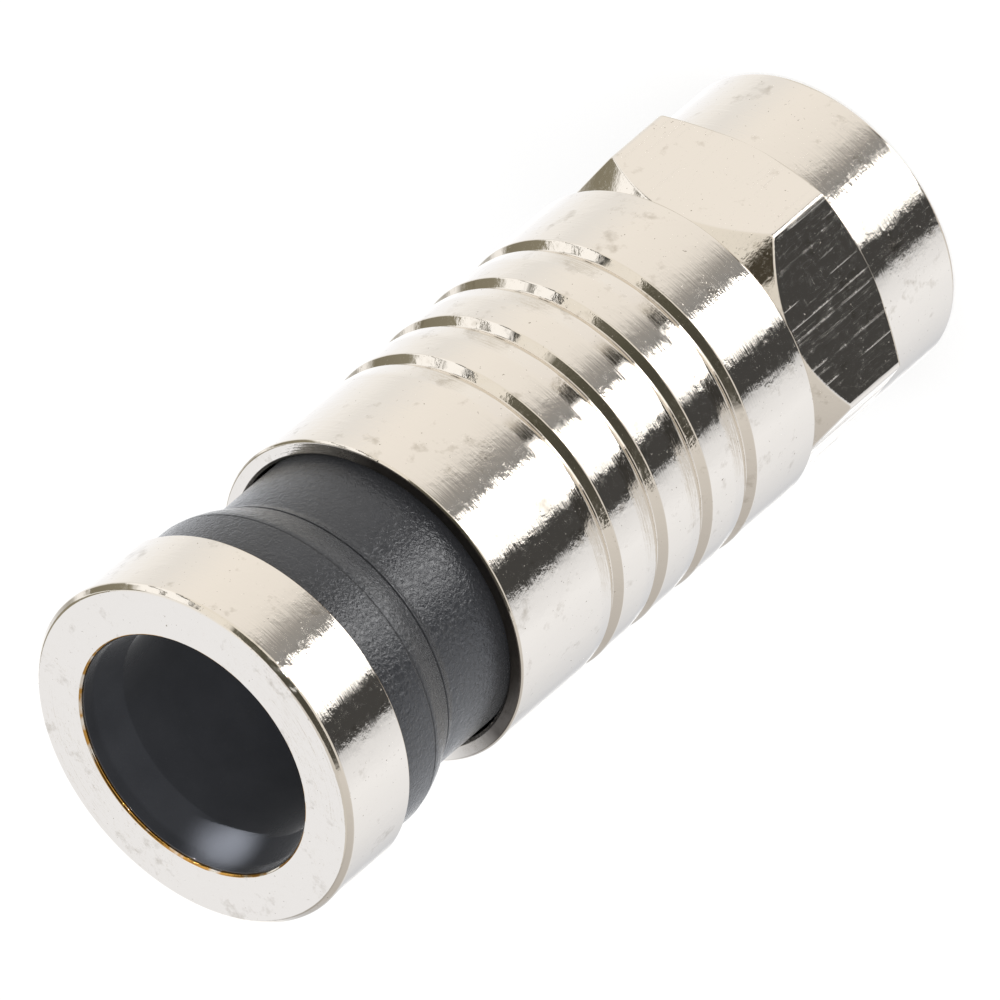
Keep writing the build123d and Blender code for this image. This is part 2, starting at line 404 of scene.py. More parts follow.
# From a groove's rear edge forward: the shoulder's foot, the channel's floor and its front edge.
SHOULDER_FOOT, CHANNEL_FLOOR, GROOVE_LENGTH = 0.7, 0.93, 1.2
SHOULDER_DEPTH, CHANNEL_DEPTH = 0.08, 0.26
SLEEVE_CHAMBER, BRAID_CHAMBER = 5.37, 4.7

body_outline = [
    (SEAT, WEB_REAR, 0.05), (SEAT, BODY_FRONT, 0.02), (BODY_RADIUS - 0.12, BODY_FRONT, 0.05),
    (BODY_RADIUS, BODY_FRONT + 0.12, 0.05),
]
for number in reversed(range(GROOVES)):
    edge = BODY_RIM - FIRST_GROOVE - number * GROOVE_PITCH
    body_outline += [
        (BODY_RADIUS, edge - GROOVE_LENGTH, 0.04),
        (BODY_RADIUS - CHANNEL_DEPTH, edge - CHANNEL_FLOOR, 0.05),
        (BODY_RADIUS - SHOULDER_DEPTH, edge - SHOULDER_FOOT, 0.12),
        (BODY_RADIUS, edge, 0.15),
    ]
body_outline += [
    (BODY_RADIUS, BODY_RIM - 0.08, 0.04), (BODY_RADIUS - 0.08, BODY_RIM, 0.03),
    (SLEEVE_CHAMBER + 0.1, BODY_RIM, 0.03), (SLEEVE_CHAMBER, BODY_RIM - 0.1, 0.03),
    (SLEEVE_CHAMBER, WEB_REAR + 6.36, 0.05), (BRAID_CHAMBER, WEB_REAR + 5.2, 0.05),
    (BRAID_CHAMBER, WEB_REAR, 0.05),
]
body = turned("body_shell_plated", body_outline)
print(GROOVES, "grooves, the first", FIRST_GROOVE, "mm from the rim")

# %% [markdown]
# ## Sleeve and cap
# The sleeve is moulded in black acetal: a neck that enters the body, a taper that closes on the cable,
# a collar and a spigot. The turned cap is pressed over its end. The sleeve lines the cap's hole with a
# thin lip, and its bore opens there in a short cone, which the photograph shows as the dark funnel
# inside the bright ring.

# %% Build the sleeve and the cap
FOOT, COLLAR, CAP_FRONT, CAP_REAR = BODY_RIM + 3.15, BODY_RIM + 4.55, BODY_RIM + 6.28, BODY_RIM + 9.4
CAP_FLOOR, LIP_FACE = CAP_REAR - 0.4, CAP_REAR - 0.12
NECK, COLLAR_RADIUS, SLEEVE_BORE = 5.28, 5.95, 4.02
CAP_RADIUS, SPIGOT, CAP_HOLE = 6.275, 5.495, 4.425

sleeve = turned(
    "compression_sleeve_acetal",
    [
        # the tip and the neck
        (SLEEVE_BORE + 0.5, BODY_RIM - 1.7, 0.05), (NECK - 0.35, BODY_RIM - 1.7, 0.06),
        (NECK, BODY_RIM - 1.35, 0.08), (NECK, FOOT - 0.3, 0.15),
        # the parting line at the taper's foot, the taper, and the line at the collar
        (5.39, FOOT - 0.06, 0.03), (5.31, FOOT, 0.02), (5.42, FOOT + 0.04, 0.03),
        (5.75, COLLAR - 0.68, 0.3), (5.9, COLLAR - 0.22, 0.1), (5.92, COLLAR - 0.08, 0.03),
        (5.89, COLLAR - 0.03, 0.02), (COLLAR_RADIUS, COLLAR + 0.02, 0.03),
        # the collar's end and the spigot, inside the cap
        (COLLAR_RADIUS, CAP_FRONT, 0.05), (SPIGOT, CAP_FRONT, 0.02), (SPIGOT, CAP_FLOOR, 0.01),
        # the lip in the cap's hole, the funnel and the bore
        (CAP_HOLE, CAP_FLOOR, 0.01), (CAP_HOLE, LIP_FACE, 0.02), (CAP_HOLE - 0.04, LIP_FACE, 0.03),
        (4.36, CAP_REAR - 0.53, 0.08), (SLEEVE_BORE, CAP_REAR - 1.68, 0.03),
        (SLEEVE_BORE, BODY_RIM - 1.2, 0.1),
    ],
)
cap = turned(
    "end_cap_plated",
    [
        (SPIGOT, CAP_FRONT, 0.02), (CAP_RADIUS - 0.06, CAP_FRONT, 0.03),
        (CAP_RADIUS, CAP_FRONT + 0.06, 0.03), (CAP_RADIUS, CAP_REAR - 0.18, 0.06),
        (CAP_RADIUS - 0.18, CAP_REAR, 0.06), (CAP_HOLE + 0.06, CAP_REAR, 0.03),
        (CAP_HOLE, CAP_REAR - 0.06, 0.03), (CAP_HOLE, CAP_FLOOR, 0.01), (SPIGOT, CAP_FLOOR, 0.01),
    ],
)
print("the sleeve's neck shows for", round(FOOT - BODY_RIM, 2), "mm")
print("the whole part is", CAP_REAR, "mm tall")

# %% [markdown]
# ## Where a tool has been
# Turning leaves rings that run round the axis. To draw them, a material needs to know two things about
# each point: how far round it is, and how far along the outline. Both come from Object coordinates. The
# radius and the height added together grow along sides and along faces alike, so one value serves both.

# %% Coordinates for turned work
def lathe_coordinates(tree):
    """Sockets for a point's position, height and radius, the way to it from the axis, and how far along
    the outline it is."""
    position = add(tree, "ShaderNodeTexCoord").outputs["Object"]
    split = add(tree, "ShaderNodeSeparateXYZ", {0: position}).outputs
    level = add(tree, "ShaderNodeCombineXYZ", {0: split[0], 1: split[1]}).outputs[0]
    radius = add(tree, "ShaderNodeVectorMath", {0: level}, operation="LENGTH").outputs["Value"]
    around = add(tree, "ShaderNodeVectorMath", {0: level}, operation="NORMALIZE").outputs[0]
    along = add(tree, "ShaderNodeMath", {0: split[2], 1: radius}, operation="ADD").outputs[0]
    return {"position": position, "height": split[2], "radius": radius, "around": around, "along": along}


def per_mm(size):
    """The texture scale at which one feature is that many millimetres, on coordinates in metres."""
    return 1 / (size * MM)


print("rings 0.09 mm apart need a scale of", round(per_mm(0.09)))

# %% [markdown]
# ## Nickel plate on turned brass
# Bright nickel is warm grey and almost a mirror. The plate is thin, so it keeps every mark beneath it:
# the tool's rings, short scratches that follow the turning, and a few pits and dull stains. The rings
# matter most. They tilt the mirror a degree or two up and down, and break the edges of reflections into
# fine streaks. The colour lies in the metal itself, so metallic is one and the IOR keeps its default.

# %% The plated finish
NICKEL, STAIN, PIT, BARE_BRASS = "E8E1D7", "CBC3B7", "8A8072", "C0924A"
# Each pattern is a noise: how many mm its features are across, its detail and its roughness, and the
# two of its values between which the pattern goes from none to full.
PLATE_PATTERNS = {
    "uneven": (0.9, 2.0, 0.5, 0.42, 0.6),
    "stained": (0.9, 4.0, 0.6, 0.60, 0.74),
    "pitted": (0.13, 2.0, 0.7, 0.70, 0.78),
    "hazy": (0.25, 3.0, 0.65, 0.48, 0.72),
    "scratched": (3.0, 2.0, 0.5, 0.45, 0.54),
    "rubbed off": (0.8, 2.0, 0.6, 0.40, 0.5),
}


def nickel_plate(material, ring_mm, ring_depth, mirror, flats=False, worn=(), rougher_with_painted_shade=()):
    """Builds a nickel finish. ring_mm is the spacing of the tool's marks, ring_depth how deep they are
    in mm, and mirror the roughness between them. worn and rougher_with_painted_shade list zones of
    (low radius, high radius, low height, high height, side) in mm. The side is a bearing in degrees, or
    None for all the way round. A rougher_with_painted_shade zone also has its colour, a darker one
    painted as shade."""
    tree = emptied(material)
    at = lathe_coordinates(tree)

    def zone(low_r, high_r, low_z, high_z, side):
        # 1 inside the zone and 0 outside it, and fading away from the side it faces.
        masks = []
        for value, low, high in ((at["radius"], low_r, high_r), (at["height"], low_z, high_z)):
            limits = {0: value, 1: (low + high) / 2 * MM, 2: (high - low) / 2 * MM}
            masks.append(add(tree, "ShaderNodeMath", limits, operation="COMPARE").outputs[0])
        inside = add(
            tree, "ShaderNodeMath", {0: masks[0], 1: masks[1]}, operation="MULTIPLY"
        ).outputs[0]
        if side is None:
            return inside
        toward = (math.cos(math.radians(side)), math.sin(math.radians(side)), 0.0)
        facing = add(
            tree, "ShaderNodeVectorMath", {0: at["around"], 1: toward}, operation="DOT_PRODUCT"
        )
        share = add(tree, "ShaderNodeMapRange", {"Value": facing.outputs["Value"], "From Max": 0.5})
        return add(
            tree, "ShaderNodeMath", {0: inside, 1: share.outputs[0]}, operation="MULTIPLY"
        ).outputs[0]

    patterns = {}
    left_out = {"scratched": not flats, "rubbed off": not worn}
    for name, (size, detail, roughness, low, high) in PLATE_PATTERNS.items():
        if left_out.get(name):
            continue
        grey = add(
            tree,
            "ShaderNodeTexNoise",
            {"Vector": at["position"], "Scale": per_mm(size), "Detail": detail, "Roughness": roughness},
        ).outputs[0]
        patterns[name] = add(
            tree, "ShaderNodeMapRange", {"Value": grey, "From Min": low, "From Max": high}
        ).outputs[0]

    # The rings, the same all the way round.
    rings = add(
        tree,
        "ShaderNodeTexNoise",
        {"W": at["along"], "Scale": per_mm(ring_mm), "Detail": 3.0, "Roughness": 0.6},
        noise_dimensions="1D",
    ).outputs[0]
    # Short marks along the rings, about 0.4 mm long on the body and 0.06 mm wide.
    stretched = add(
        tree, "ShaderNodeVectorMath", {0: at["around"], 3: 16.0}, operation="SCALE"
    ).outputs[0]
    fine_way = add(
        tree, "ShaderNodeMath", {0: at["along"], 1: per_mm(0.06)}, operation="MULTIPLY"
    ).outputs[0]
    lift = add(tree, "ShaderNodeCombineXYZ", {2: fine_way}).outputs[0]
    arc_way = add(tree, "ShaderNodeVectorMath", {0: stretched, 1: lift}, operation="ADD").outputs[0]
    arcs = add(
        tree, "ShaderNodeTexNoise", {"Vector": arc_way, "Scale": 1.0, "Detail": 2.0, "Roughness": 0.6}
    ).outputs[0]
    height = add(
        tree, "ShaderNodeMath", {0: arcs, 1: 0.6, 2: rings}, operation="MULTIPLY_ADD"
    ).outputs[0]
    # In patches the plate is also a little uneven both ways, like the skin of an orange.
    peel = add(
        tree,
        "ShaderNodeTexNoise",
        {"Vector": at["position"], "Scale": per_mm(0.17), "Detail": 2.0, "Roughness": 0.6},
    ).outputs[0]
    uneven = add(
        tree, "ShaderNodeMath", {0: peel, 1: patterns["uneven"]}, operation="MULTIPLY"
    ).outputs[0]
    height = add(
        tree, "ShaderNodeMath", {0: uneven, 1: 1.9, 2: height}, operation="MULTIPLY_ADD"
    ).outputs[0]
    if flats:
        # Two noises, so many mm wide and drawn out along the bar.
        drawn_out = []
        for width, length, detail, roughness in ((0.8, 60.0, 1.0, 0.5), (0.12, 1.5, 2.0, 0.6)):
            scales = (per_mm(width), per_mm(width), per_mm(length))
            way = add(tree, "ShaderNodeVectorMath", {0: at["position"], 1: scales}, operation="MULTIPLY")
            given = {"Vector": way.outputs[0], "Scale": 1.0, "Detail": detail, "Roughness": roughness}
            drawn_out.append(add(tree, "ShaderNodeTexNoise", given).outputs[0])
        contours, grain = drawn_out
        # The contour lines of the long one make a few scratches.
        off_line = add(tree, "ShaderNodeMath", {0: contours, 1: 0.5}, operation="SUBTRACT").outputs[0]
        off_line = add(tree, "ShaderNodeMath", {0: off_line}, operation="ABSOLUTE").outputs[0]
        line = add(
            tree, "ShaderNodeMapRange", {"Value": off_line, "From Min": 0.03, "From Max": 0.012}
        ).outputs[0]
        line = add(
            tree, "ShaderNodeMath", {0: line, 1: patterns["scratched"]}, operation="MULTIPLY"
        ).outputs[0]
        # The flats begin just behind the skirt.
        on_hex = add(
            tree,
            "ShaderNodeMapRange",
            {
                "Value": at["height"],
                "From Min": (SKIRT_LENGTH + 0.05) * MM,
                "From Max": (SKIRT_LENGTH + 0.25) * MM,
            },
        ).outputs[0]
        scored = add(tree, "ShaderNodeMath", {0: line, 1: on_hex}, operation="MULTIPLY").outputs[0]
        drawn = add(
            tree, "ShaderNodeMath", {0: scored, 1: 0.5, 2: grain}, operation="MULTIPLY_ADD"
        ).outputs[0]
        height = add(
            tree, "ShaderNodeMix", {0: on_hex, 2: height, 3: drawn}, data_type="FLOAT"
        ).outputs[0]
    marks = add(
        tree, "ShaderNodeBump", {"Strength": 1.0, "Distance": ring_depth * MM, "Height": height}
    ).outputs[0]
    pitted = add(
        tree,
        "ShaderNodeBump",
        {"Strength": 0.7, "Distance": 0.004 * MM, "Height": patterns["pitted"], "Normal": marks},
        invert=True,
    ).outputs[0]
    # What dulls the mirror, and by how much where it is full.
    duller = [(patterns["pitted"], 0.3)]
    colours = [(patterns["stained"], STAIN), (patterns["pitted"], PIT)]
    if flats:
        rubbed = add(
            tree, "ShaderNodeMapRange", {"Value": grain, "From Min": 0.52, "From Max": 0.75}
        ).outputs[0]
        duller += [(rubbed, 0.15), (scored, 0.17)]
    for place in worn:
        bare = add(
            tree, "ShaderNodeMath", {0: zone(*place), 1: patterns["rubbed off"]}, operation="MULTIPLY"
        ).outputs[0]
        colours.append((bare, BARE_BRASS))
    # Each such zone is rougher, and its darker colour is painted shade.
    for *place, code in rougher_with_painted_shade:
        dim = zone(*place)
        duller.append((dim, 0.28))
        colours.append((dim, code))
    rough = add(
        tree,
        "ShaderNodeMapRange",
        {"Value": patterns["hazy"], "To Min": mirror, "To Max": mirror + 0.12},
    ).outputs[0]
    for mask, more in duller:
        rough = add(
            tree, "ShaderNodeMath", {0: mask, 1: more, 2: rough}, operation="MULTIPLY_ADD"
        ).outputs[0]
    colour = linear(NICKEL)
    for share, code in colours:
        colour = add(
            tree, "ShaderNodeMix", {0: share, 6: colour, 7: linear(code)}, data_type="RGBA"
        ).outputs[2]
    metal = add(
        tree,
        "ShaderNodeBsdfPrincipled",
        {"Base Color": colour, "Metallic": 1.0, "Roughness": rough, "Normal": pitted},
    )
    add(tree, "ShaderNodeOutputMaterial", {"Surface": metal.outputs[0]})
    return material


# The finish that the three plated pieces in view share: fine rings, and a mirror between them.
TURNED = {"ring_mm": 0.11, "ring_depth": 0.0034, "mirror": 0.05}

# Bright nickel over free-cutting brass, turned: a warm mirror with fine rings round it. One side of the
# rim's end is rougher, and its colour there is darkened as painted shade.
body_metal = nickel_plate(
    bpy.data.materials.new("bright_nickel_on_turned_brass"), **TURNED,
    rougher_with_painted_shade=[(5.45, 5.89, BODY_RIM - 0.05, BODY_RIM + 0.05, -120, "5E5954")],
)
# The same plate on drawn hexagon bar: the flats keep long scratches from drawing and from the wrench.
nut_metal = nickel_plate(bpy.data.materials.new("bright_nickel_on_hexagon_bar"), **TURNED, flats=True)
# The cap's plate is worn to bare brass in places along two of its edges.
cap_metal = nickel_plate(
    bpy.data.materials.new("bright_nickel_worn_at_edges"), **TURNED,
    worn=[
        (4.40, 4.50, CAP_REAR - 0.2, CAP_REAR + 0.02, None),
        (6.1, 6.3, CAP_FRONT - 0.05, CAP_FRONT + 0.06, None),
    ],
)
# Nickel inside a hole is duller, because the plating bath reaches it less.
post_metal = nickel_plate(bpy.data.materials.new("dull_nickel_on_post"), 0.12, 0.0012, 0.2)
nickel_plate(thread_finish, 0.15, 0.0010, 0.2)
plated = (body_metal, nut_metal, cap_metal, post_metal, thread_finish)
print("plated finishes", [material.name for material in plated])

# %% [markdown]
# ## Moulded black acetal and rubber
# Acetal (POM) is a hard slippery plastic. Out of the mould it is satin black, never quite black where
# light falls on it, and its skin has a fine wrinkle that shows only where a bright reflection crosses
# it. The seal is EPDM rubber, matt because its surface is full of tiny hollows.

# %% The plastic and the rubber
IN_HOLE = 0.12  # the share of the outside's wrinkle that the hole has


def moulded_acetal(name):
    """Satin black plastic with a fine speckle and a wrinkled skin."""
    material = bpy.data.materials.new(name)
    tree = emptied(material)
    at = lathe_coordinates(tree)
    wrinkle = add(
        tree,
        "ShaderNodeTexNoise",
        {
            "Vector": at["position"],
            "Scale": per_mm(0.16),
            "Detail": 3.0,
            "Roughness": 0.55,
            "Distortion": 0.8,
        },
    ).outputs[0]
    # About as fine as the picture can show.
    speckle = add(
        tree, "ShaderNodeTexNoise", {"Vector": at["position"], "Scale": per_mm(0.05), "Detail": 1.0}
    ).outputs[0]
    flow = add(
        tree, "ShaderNodeTexNoise", {"Vector": at["position"], "Scale": per_mm(1.2), "Detail": 3.0}
    ).outputs[0]
    skin = add(
        tree, "ShaderNodeMath", {0: speckle, 1: 0.1, 2: wrinkle}, operation="MULTIPLY_ADD"
    ).outputs[0]
    # The hole was shaped by a polished pin, so only a little of the wrinkle is left in it.
    outside = add(
        tree,
        "ShaderNodeMapRange",
        {"Value": at["radius"], "From Min": 4.5 * MM, "From Max": 4.8 * MM, "To Min": IN_HOLE},
    ).outputs[0]
    relief = add(
        tree, "ShaderNodeBump", {"Strength": outside, "Distance": 0.04 * MM, "Height": skin}
    ).outputs[0]
    shade = add(
        tree, "ShaderNodeMix", {0: flow, 6: linear("2A2B2E"), 7: linear("343538")}, data_type="RGBA"
    ).outputs[2]
    dust = add(
        tree,
        "ShaderNodeMapRange",
        {"Value": speckle, "From Min": 0.66, "From Max": 0.8, "To Max": outside},
    ).outputs[0]
    dusty = add(
        tree, "ShaderNodeMix", {0: dust, 6: shade, 7: linear("505052")}, data_type="RGBA"
    ).outputs[2]
    gloss = add(
        tree, "ShaderNodeMapRange", {"Value": flow, "To Min": 0.12, "To Max": 0.18}
    ).outputs[0]
    polish = add(
        tree, "ShaderNodeMapRange", {"Value": outside, "From Min": IN_HOLE, "To Min": 0.55}
    ).outputs[0]
    gloss = add(tree, "ShaderNodeMath", {0: gloss, 1: polish}, operation="MULTIPLY").outputs[0]
    plastic = add(
        tree,
        "ShaderNodeBsdfPrincipled",
        {
            "Base Color": dusty,
            "Roughness": gloss,
            "IOR": 1.48,
            "Sheen Weight": 0.12,
            "Sheen Roughness": 0.4,
            "Normal": relief,
        },
    )
    add(tree, "ShaderNodeOutputMaterial", {"Surface": plastic.outputs[0]})
    return material


def matt_rubber(name):
    """Black EPDM, matt from its fine hollows."""
    material = bpy.data.materials.new(name)
    tree = emptied(material)
    at = lathe_coordinates(tree)
    # The real hollows are too fine to show, so they are drawn 0.06 mm wide.
    hollows = add(
        tree, "ShaderNodeTexNoise", {"Vector": at["position"], "Scale": per_mm(0.06), "Detail": 3.0}
    ).outputs[0]
    shade = add(
        tree, "ShaderNodeMix", {0: hollows, 6: linear("1A1A1A"), 7: linear("2C2B2A")}, data_type="RGBA"
    ).outputs[2]
    relief = add(
        tree, "ShaderNodeBump", {"Strength": 0.6, "Distance": 0.006 * MM, "Height": hollows}
    ).outputs[0]
    rubber = add(
        tree,
        "ShaderNodeBsdfPrincipled",
        {"Base Color": shade, "Roughness": 0.75, "IOR": 1.52, "Normal": relief},
    )
    add(tree, "ShaderNodeOutputMaterial", {"Surface": rubber.outputs[0]})
    return material


acetal = moulded_acetal("black_acetal_moulded")
rubber = matt_rubber("epdm_rubber_moulded")
print("moulded finishes", acetal.name, rubber.name)

# %% [markdown]
# ## Join the pieces to the frame
# Each new piece takes the place of its CAD solid and rides on the body that the solid belongs to. The
# thread rides on the nut and turns with it.

# %% Put each piece on its body
placing = [
    (nut, nut_metal, "nut", "nut_plating", "coupling_nut"),
    (thread, thread_finish, "nut", "nut_plating", None),
    (post, post_metal, "body", "post_plating", "inner_post"),
    (seal, rubber, "body", "seal_rubber", "nut_seal_ring"),
    (body, body_metal, "body", "body_plating", "body_shell"),
    (sleeve, acetal, "sleeve", "sleeve_plastic", "compression_sleeve"),
    (cap, cap_metal, "sleeve", "cap_plating", "end_cap"),
]
for piece, finish, body_name, slot_name, node_name in placing:
    piece.data.materials.clear()
    piece.data.materials.append(finish)
    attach(piece, body_name)
    if node_name:
        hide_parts(node_name)
    print(piece.name, "rides on", body_name, "and wears", finish.name)

# %% [markdown]
# ## Floor
# The photograph has a white ground with no shadow. The floor here is a pale sheet that still takes a
# soft shadow: most of what the camera sees of it is its own white, and the rest is light that falls on
# it. Mirrors look past it to the studio, so it is hidden from glossy rays.

# %% A pale floor
OWN_WHITE = 0.72  # how much of what is seen of the floor is its own white


def pale_floor(name):
    """White to the camera, with a soft share of real shading, and clear when seen from beneath."""
    material = bpy.data.materials.new(name)
    tree = emptied(material)
    sheet = add(tree, "ShaderNodeBsdfDiffuse", {"Color": linear("F4F4F4")})
    white = add(tree, "ShaderNodeEmission", {"Color": (1.0, 1.0, 1.0, 1.0), "Strength": 1.0})
    path = add(tree, "ShaderNodeLightPath").outputs
    seen = add(
        tree, "ShaderNodeMath", {0: path["Is Camera Ray"], 1: path["Is Glossy Ray"]}, operation="MAXIMUM"
    ).outputs[0]
    shown = add(
        tree, "ShaderNodeMath", {0: seen, 1: path["Is Transmission Ray"]}, operation="MAXIMUM"
    ).outputs[0]
    share = add(tree, "ShaderNodeMath", {0: shown, 1: OWN_WHITE}, operation="MULTIPLY").outputs[0]
    mixed = add(tree, "ShaderNodeMixShader", {0: share, 1: sheet.outputs[0], 2: white.outputs[0]})
    beneath = add(tree, "ShaderNodeNewGeometry").outputs["Backfacing"]
    clear = add(tree, "ShaderNodeBsdfTransparent")
    whole = add(tree, "ShaderNodeMixShader", {0: beneath, 1: mixed.outputs[0], 2: clear.outputs[0]})
    add(tree, "ShaderNodeOutputMaterial", {"Surface": whole.outputs[0]})
    return material


FLOOR_HALF = 1.6
floor_mesh = bpy.data.meshes.new("studio_floor")
floor_corners = [(x * FLOOR_HALF, y * FLOOR_HALF, 0) for x, y in ((-1, -1), (1, -1), (1, 1), (-1, 1))]
floor_mesh.from_pydata(floor_corners, [], [(0, 1, 2, 3)])
floor = in_scene("studio_floor", floor_mesh)
floor.data.materials.append(pale_floor("pale_paper"))
floor.visible_glossy = False
print("floor", 2 * FLOOR_HALF, "m square at height 0")

# %% [markdown]
# ## The studio that the metal sees
# A mirror has no look of its own: it shows the room. The photograph's metal shows a pale room with one
# white light, one black card beside it, and a darker table below. The world paints that room by
# direction. The direction's angle round the axis picks a colour from a list of stops, and its height
# picks the list: the table below, the room, or what hangs above. A black card hangs over the camera, and
# a small dark disc is the camera itself. Near the room's height the picture leans a little, so that the
# tool's rings, which tilt the mirror up and down, also break the sides of the reflections into teeth.
# Rough surfaces and the floor get plain even light instead. The room's strengths were first worked out
# from the colours round the photograph's body, and then set again in round numbers.

# %% Paint the studio by direction
SIGHT_TURN = -5.0  # the camera's bearing, in degrees from straight in front of the nut's corner
MIRROR_HEIGHT = -37.6  # degrees up, at which an upright side mirrors the room to the camera
# The reflections lean up to LEAN degrees, reached LEAN_ZONE degrees above and below that height.
LEAN, LEAN_ZONE = 3.0, 3.0
CAMERA_WAY = (0.0, -0.785, 0.62)  # toward the camera, with its bearing taken as 0
EVEN_LIGHT = 0.62  # for rough surfaces and the floor
# The light's tints, and the grey of a black card. A stop is (bearing in degrees, colour, strength).
WHITE, COOL, WARM, CARD = "FFFFFF", "F6F9FF", "FFFCF8", "484848"
ROOM = [
    (0, WHITE, 1.3), (30, COOL, 1.2), (60, WHITE, 1.05), (75, WHITE, 0.95), (105, WARM, 1.05),
    (140, WARM, 1.0), (150, WARM, 0.9), (157, WARM, 0.55), (162, WARM, 0.35), (170, WHITE, 0.35),
    (176, WHITE, 0.2), (179, WHITE, 5.0), (181, WHITE, 7.0), (192, WHITE, 7.0), (196, WHITE, 1.6),
    (210, WHITE, 1.6), (212, CARD, 1.0), (235, CARD, 1.0), (237, COOL, 0.7), (245, COOL, 1.0),
    (265, COOL, 1.15), (295, COOL, 1.05), (325, COOL, 0.85), (335, COOL, 0.75), (340, COOL, 0.8),
    (350, WHITE, 1.2),
]
TABLE = [
    (0, WHITE, 1.05), (30, "F4F2EE", 1.0), (60, "F0ECE4", 0.97), (90, "F0ECE4", 0.92),
    (104, "FFFEFC", 1.05), (138, "FFFCFA", 0.98), (146, "F4EEE4", 0.8), (151, "8A857C", 0.7),
    (155, "56544F", 0.7), (163, "4C4A46", 0.7), (167, WHITE, 3.0), (206, WHITE, 4.0),
    (209, "3C3B39", 1.0), (233, "3C3B39", 1.0),
    (238, "EDEAE6", 0.85), (290, "E6E2DC", 0.95), (335, "D0CBC4", 0.8), (352, "F8F8F8", 1.1),
]
ABOVE = [
    (0, "F3F7FF", 1.13), (13, "F3F7FF", 1.13), (20, "B8B2A0", 0.75), (40, "A39D88", 0.7),
    (44, WHITE, 1.1), (47, WHITE, 1.1), (51, "A09A86", 0.7), (72, "ACA692", 0.7),
    (77, WHITE, 1.2), (88, WHITE, 1.2), (89, "8A8880", 0.9), (91, "8A8880", 0.9),
    (92, WHITE, 1.2), (104, WHITE, 1.2), (106, "4A4A46", 1.0), (109, "4A4A46", 1.0),
    (111, "F4F0E8", 1.1), (195, "F0ECE4", 1.0), (240, "E9E6E2", 1.0),
    (262, "E2DFDB", 0.98), (290, "D8D5D2", 0.93), (318, "CFCCC9", 0.9), (334, "B9B6B2", 0.88),
    (346, "F3F7FF", 1.13),
]
OVERHEAD = [
    (0, "F3F7FF", 1.13), (131, "F4F0E8", 1.1), (136, "706D60", 0.95), (160, "5A584C", 0.95),
    (190, "504E45", 0.95), (243, "56544D", 0.95), (249, "E2DFDA", 0.95),
]
# The heights, in degrees, where each of the last three lists begins and where it has taken over.
BEGINS = [(-45.5, -49.0), (-14.0, 6.0), (40.5, 42.5)]

world = bpy.data.worlds.new("studio")
bpy.context.scene.world = world
# Every ray then finds the sky by its own path, so rough and mirror-like surfaces each see theirs.
world.cycles.sampling_method = "NONE"
sky = emptied(world)
way = add(sky, "ShaderNodeTexCoord").outputs["Generated"]
turned_way = add(
    sky,
    "ShaderNodeVectorRotate",
    {"Vector": way, "Angle": math.radians(-SIGHT_TURN)},
    rotation_type="Z_AXIS",
).outputs[0]
parts = add(sky, "ShaderNodeSeparateXYZ", {0: turned_way}).outputs
# The bearing is 0 straight away from the camera, about 90 toward +X, and 180 toward the camera.
bearing = add(sky, "ShaderNodeMath", {0: parts[0], 1: parts[1]}, operation="ARCTAN2").outputs[0]
share_round = add(
    sky, "ShaderNodeMath", {0: bearing, 1: 1 / (2 * math.pi)}, operation="MULTIPLY"
).outputs[0]
rise = add(sky, "ShaderNodeMath", {0: parts[2]}, operation="ARCSINE").outputs[0]
degrees_up = add(sky, "ShaderNodeMath", {0: rise, 1: 180 / math.pi}, operation="MULTIPLY").outputs[0]
lean = add(
    sky,
    "ShaderNodeMapRange",
    {
        "Value": degrees_up,
        "From Min": MIRROR_HEIGHT - LEAN_ZONE,
        "From Max": MIRROR_HEIGHT + LEAN_ZONE,
        "To Min": -LEAN / 360,
        "To Max": LEAN / 360,
    },
).outputs[0]
leaning = add(sky, "ShaderNodeMath", {0: share_round, 1: lean}, operation="ADD").outputs[0]
once_round = add(sky, "ShaderNodeMath", {0: share_round}, operation="FRACT").outputs[0]
once_round_leaning = add(sky, "ShaderNodeMath", {0: leaning}, operation="FRACT").outputs[0]
pictures = []
for place, stops in (
    (once_round_leaning, ROOM), (once_round_leaning, TABLE), (once_round, ABOVE), (once_round, OVERHEAD)
):
    # A new ramp has two stops, and holds at most 32.
    ramp = add(sky, "ShaderNodeValToRGB", {0: place})
    elements = ramp.color_ramp.elements
    elements.remove(elements[-1])
    for number, (degrees, code, strength) in enumerate(stops):
        element = elements.new(degrees / 360) if number else elements[0]
        element.position = degrees / 360
        element.color = tuple(c * strength for c in linear(code)[:3]) + (1.0,)
    pictures.append(ramp.outputs[0])
seen_by_mirrors = pictures[0]
for picture, (low, high) in zip(pictures[1:], BEGINS):
    part = add(
        sky, "ShaderNodeMapRange", {"Value": degrees_up, "From Min": low, "From Max": high}
    ).outputs[0]
    seen_by_mirrors = add(
        sky, "ShaderNodeMix", {0: part, 6: seen_by_mirrors, 7: picture}, data_type="RGBA"
    ).outputs[2]
facing = add(
    sky, "ShaderNodeVectorMath", {0: turned_way, 1: CAMERA_WAY}, operation="DOT_PRODUCT"
).outputs["Value"]
# The disc's edge lies between 9 and 7 degrees from the camera's direction, as cosines.
disc = add(
    sky, "ShaderNodeMapRange", {"Value": facing, "From Min": 0.988, "From Max": 0.992}
).outputs[0]
reflected = add(
    sky, "ShaderNodeMix", {0: disc, 6: seen_by_mirrors, 7: linear("4A453B")}, data_type="RGBA"
).outputs[2]

